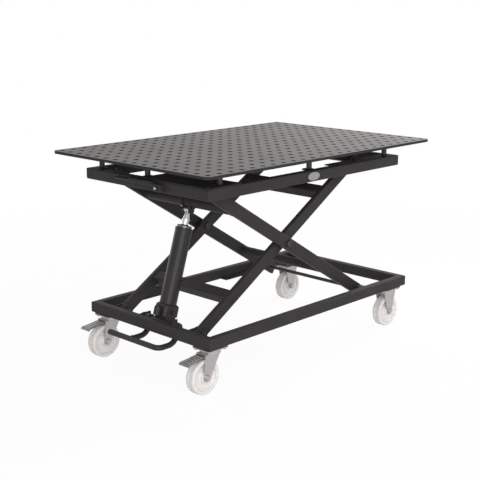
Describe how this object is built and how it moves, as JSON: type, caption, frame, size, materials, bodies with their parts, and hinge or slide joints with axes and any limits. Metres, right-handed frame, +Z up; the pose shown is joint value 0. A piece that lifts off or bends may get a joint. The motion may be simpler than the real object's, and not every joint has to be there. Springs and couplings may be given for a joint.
{
  "type": "mobile lift assembly table",
  "caption": "Mobile scissor-lift assembly table: perforated steel top on posts, foot-pumped jack, hand release lever, braked swivel and fixed casters.",
  "frame": {"origin": "on the floor under the centre of the perforated top", "axes": "+X from the foot pedal end to the fixed-caster end, +Y from the badge side to the far side, +Z up"},
  "size_m": [1.2, 0.8, 0.77],
  "materials": {
    "frame_coat": "charcoal powder coat, satin",
    "jack_coat": "charcoal enamel, satin",
    "pedal_coat": "black powder coat, satin",
    "top_steel": "plain steel, matt",
    "post_steel": "charcoal powder coat, satin",
    "pin_steel": "blackened steel, satin",
    "roller_steel": "turned steel",
    "bush_bronze": "plain bearing bronze",
    "caster_zinc": "zinc plated, satin",
    "wheel_nylon": "natural white polyamide",
    "rod_chrome": "hard chrome, polished",
    "lever_grip": "black moulded grip",
    "bracket_zinc": "zinc plated, satin"
  },
  "bodies": {
    "base": {"base_rail_near": "frame_coat", "base_rail_far": "frame_coat", "base_beam_front": "frame_coat", "base_beam_rear": "frame_coat", "base_tracks": "frame_coat", "base_lugs": "frame_coat", "base_pins": "pin_steel", "pedal_shaft": "pin_steel", "corner_pads": "frame_coat", "caster_top_plates": "caster_zinc", "caster_bolts": "caster_zinc", "kingpins": "caster_zinc", "fixed_forks": "caster_zinc"},
    "inner_arms": {"inner_arm_near": "frame_coat", "inner_arm_far": "frame_coat", "inner_arm_bushes": "bush_bronze", "inner_rung_high": "frame_coat", "inner_rung_low": "frame_coat", "centre_pins": "pin_steel", "upper_axle": "pin_steel"},
    "outer_arms": {"outer_arm_near": "frame_coat", "outer_arm_far": "frame_coat", "outer_arm_bushes": "bush_bronze", "thrust_tube": "frame_coat", "tie_tube": "frame_coat", "lower_axle": "pin_steel", "jack_head_lugs": "frame_coat", "jack_head_pin": "pin_steel"},
    "table": {"table_rail_near": "frame_coat", "table_rail_far": "frame_coat", "table_beam_front": "frame_coat", "table_beam_rear": "frame_coat", "table_tracks": "frame_coat", "table_lugs": "frame_coat", "table_pins": "pin_steel", "post_lugs": "frame_coat", "posts": "post_steel", "plate_screws": "pin_steel", "perforated_plate": "top_steel", "lever_bracket": "bracket_zinc", "trim": "frame_coat"},
    "jack_rod": {"jack_rod": "rod_chrome"},
    "jack_cylinder": {"jack_cylinder": "jack_coat", "jack_gland": "rod_chrome", "pump_block": "jack_coat", "pump_fittings": "jack_coat"},
    "pedal": {"pedal": "pedal_coat"},
    "release_lever": {"release_lever": "lever_grip"},
    "swivel_near": {"swivel_fork_near": "caster_zinc"},
    "swivel_far": {"swivel_fork_far": "caster_zinc"},
    "brake_near": {"brake_pedal_near": "caster_zinc"},
    "brake_far": {"brake_pedal_far": "caster_zinc"},
    "wheel_front_near": {"wheel_front_near": "wheel_nylon"},
    "wheel_front_far": {"wheel_front_far": "wheel_nylon"},
    "wheel_rear_near": {"wheel_rear_near": "wheel_nylon"},
    "wheel_rear_far": {"wheel_rear_far": "wheel_nylon"},
    "roller_upper_near": {"roller_upper_near": "roller_steel"},
    "roller_upper_far": {"roller_upper_far": "roller_steel"},
    "roller_lower_near": {"roller_lower_near": "roller_steel"},
    "roller_lower_far": {"roller_lower_far": "roller_steel"}
  },
  "joints": [
    {"name": "lift", "type": "hinge", "parent": "base", "child": "inner_arms", "pos_m": [-0.4473, 0, 0.185], "axis": [0, -1, 0], "range_deg": [-1, 13]},
    {"name": "scissor", "type": "hinge", "parent": "inner_arms", "child": "outer_arms", "pos_m": [-0.03846, 0, 0.4365], "axis": [0, -1, 0], "range_deg": [-26, 2]},
    {"name": "table_level", "type": "hinge", "parent": "outer_arms", "child": "table", "pos_m": [-0.4473, 0, 0.688], "axis": [0, -1, 0], "range_deg": [-1, 13]},
    {"name": "jack_head", "type": "hinge", "parent": "outer_arms", "child": "jack_rod", "pos_m": [-0.31203, 0, 0.56869], "axis": [0, -1, 0], "range_deg": [-1.61, 20.87]},
    {"name": "jack_stroke", "type": "slide", "parent": "jack_rod", "child": "jack_cylinder", "axis": [-0.3005, 0, -0.9538], "range_m": [-0.01032, 0.13414]},
    {"name": "pedal_pump", "type": "hinge", "parent": "base", "child": "pedal", "pos_m": [-0.467, 0, 0.194], "axis": [0, -1, 0], "range_deg": [0, 20], "stiffness_Nm_per_rad": 12, "springref_deg": -6.88},
    {"name": "release", "type": "hinge", "parent": "table", "child": "release_lever", "pos_m": [-0.525, -0.085, 0.687], "axis": [1, 0, 0], "range_deg": [0, 12], "stiffness_Nm_per_rad": 3, "springref_deg": -8.59},
    {"name": "swivel_near", "type": "hinge", "parent": "base", "child": "swivel_near", "pos_m": [-0.463, -0.265, 0.144], "axis": [0, 0, 1], "continuous": true},
    {"name": "brake_near", "type": "hinge", "parent": "swivel_near", "child": "brake_near", "pos_m": [-0.501, -0.265, 0.134], "axis": [0, -1, 0], "range_deg": [0, 8]},
    {"name": "wheel_front_near", "type": "hinge", "parent": "swivel_near", "child": "wheel_front_near", "pos_m": [-0.501, -0.265, 0.0625], "axis": [0, 1, 0], "continuous": true},
    {"name": "wheel_rear_near", "type": "hinge", "parent": "base", "child": "wheel_rear_near", "pos_m": [0.5315, -0.265, 0.0625], "axis": [0, 1, 0], "continuous": true},
    {"name": "roller_upper_near", "type": "hinge", "parent": "inner_arms", "child": "roller_upper_near", "pos_m": [0.37037, -0.267, 0.688], "axis": [0, 1, 0], "continuous": true},
    {"name": "roller_lower_near", "type": "hinge", "parent": "outer_arms", "child": "roller_lower_near", "pos_m": [0.37037, -0.267, 0.185], "axis": [0, 1, 0], "continuous": true},
    {"name": "swivel_far", "type": "hinge", "parent": "base", "child": "swivel_far", "pos_m": [-0.463, 0.265, 0.144], "axis": [0, 0, 1], "continuous": true},
    {"name": "brake_far", "type": "hinge", "parent": "swivel_far", "child": "brake_far", "pos_m": [-0.501, 0.265, 0.134], "axis": [0, -1, 0], "range_deg": [0, 8]},
    {"name": "wheel_front_far", "type": "hinge", "parent": "swivel_far", "child": "wheel_front_far", "pos_m": [-0.501, 0.265, 0.0625], "axis": [0, 1, 0], "continuous": true},
    {"name": "wheel_rear_far", "type": "hinge", "parent": "base", "child": "wheel_rear_far", "pos_m": [0.5315, 0.265, 0.0625], "axis": [0, 1, 0], "continuous": true},
    {"name": "roller_upper_far", "type": "hinge", "parent": "inner_arms", "child": "roller_upper_far", "pos_m": [0.37037, 0.267, 0.688], "axis": [0, 1, 0], "continuous": true},
    {"name": "roller_lower_far", "type": "hinge", "parent": "outer_arms", "child": "roller_lower_far", "pos_m": [0.37037, 0.267, 0.185], "axis": [0, 1, 0], "continuous": true}
  ],
  "couplings": [
    {"joint": "scissor", "follows": "lift", "ratio": -2},
    {"joint": "table_level", "follows": "lift", "ratio": 1},
    {"joint": "jack_head", "follows": "lift", "ratio": 1.6051},
    {"joint": "jack_stroke", "follows": "lift", "m_per_rad": 0.5912}
  ]
}
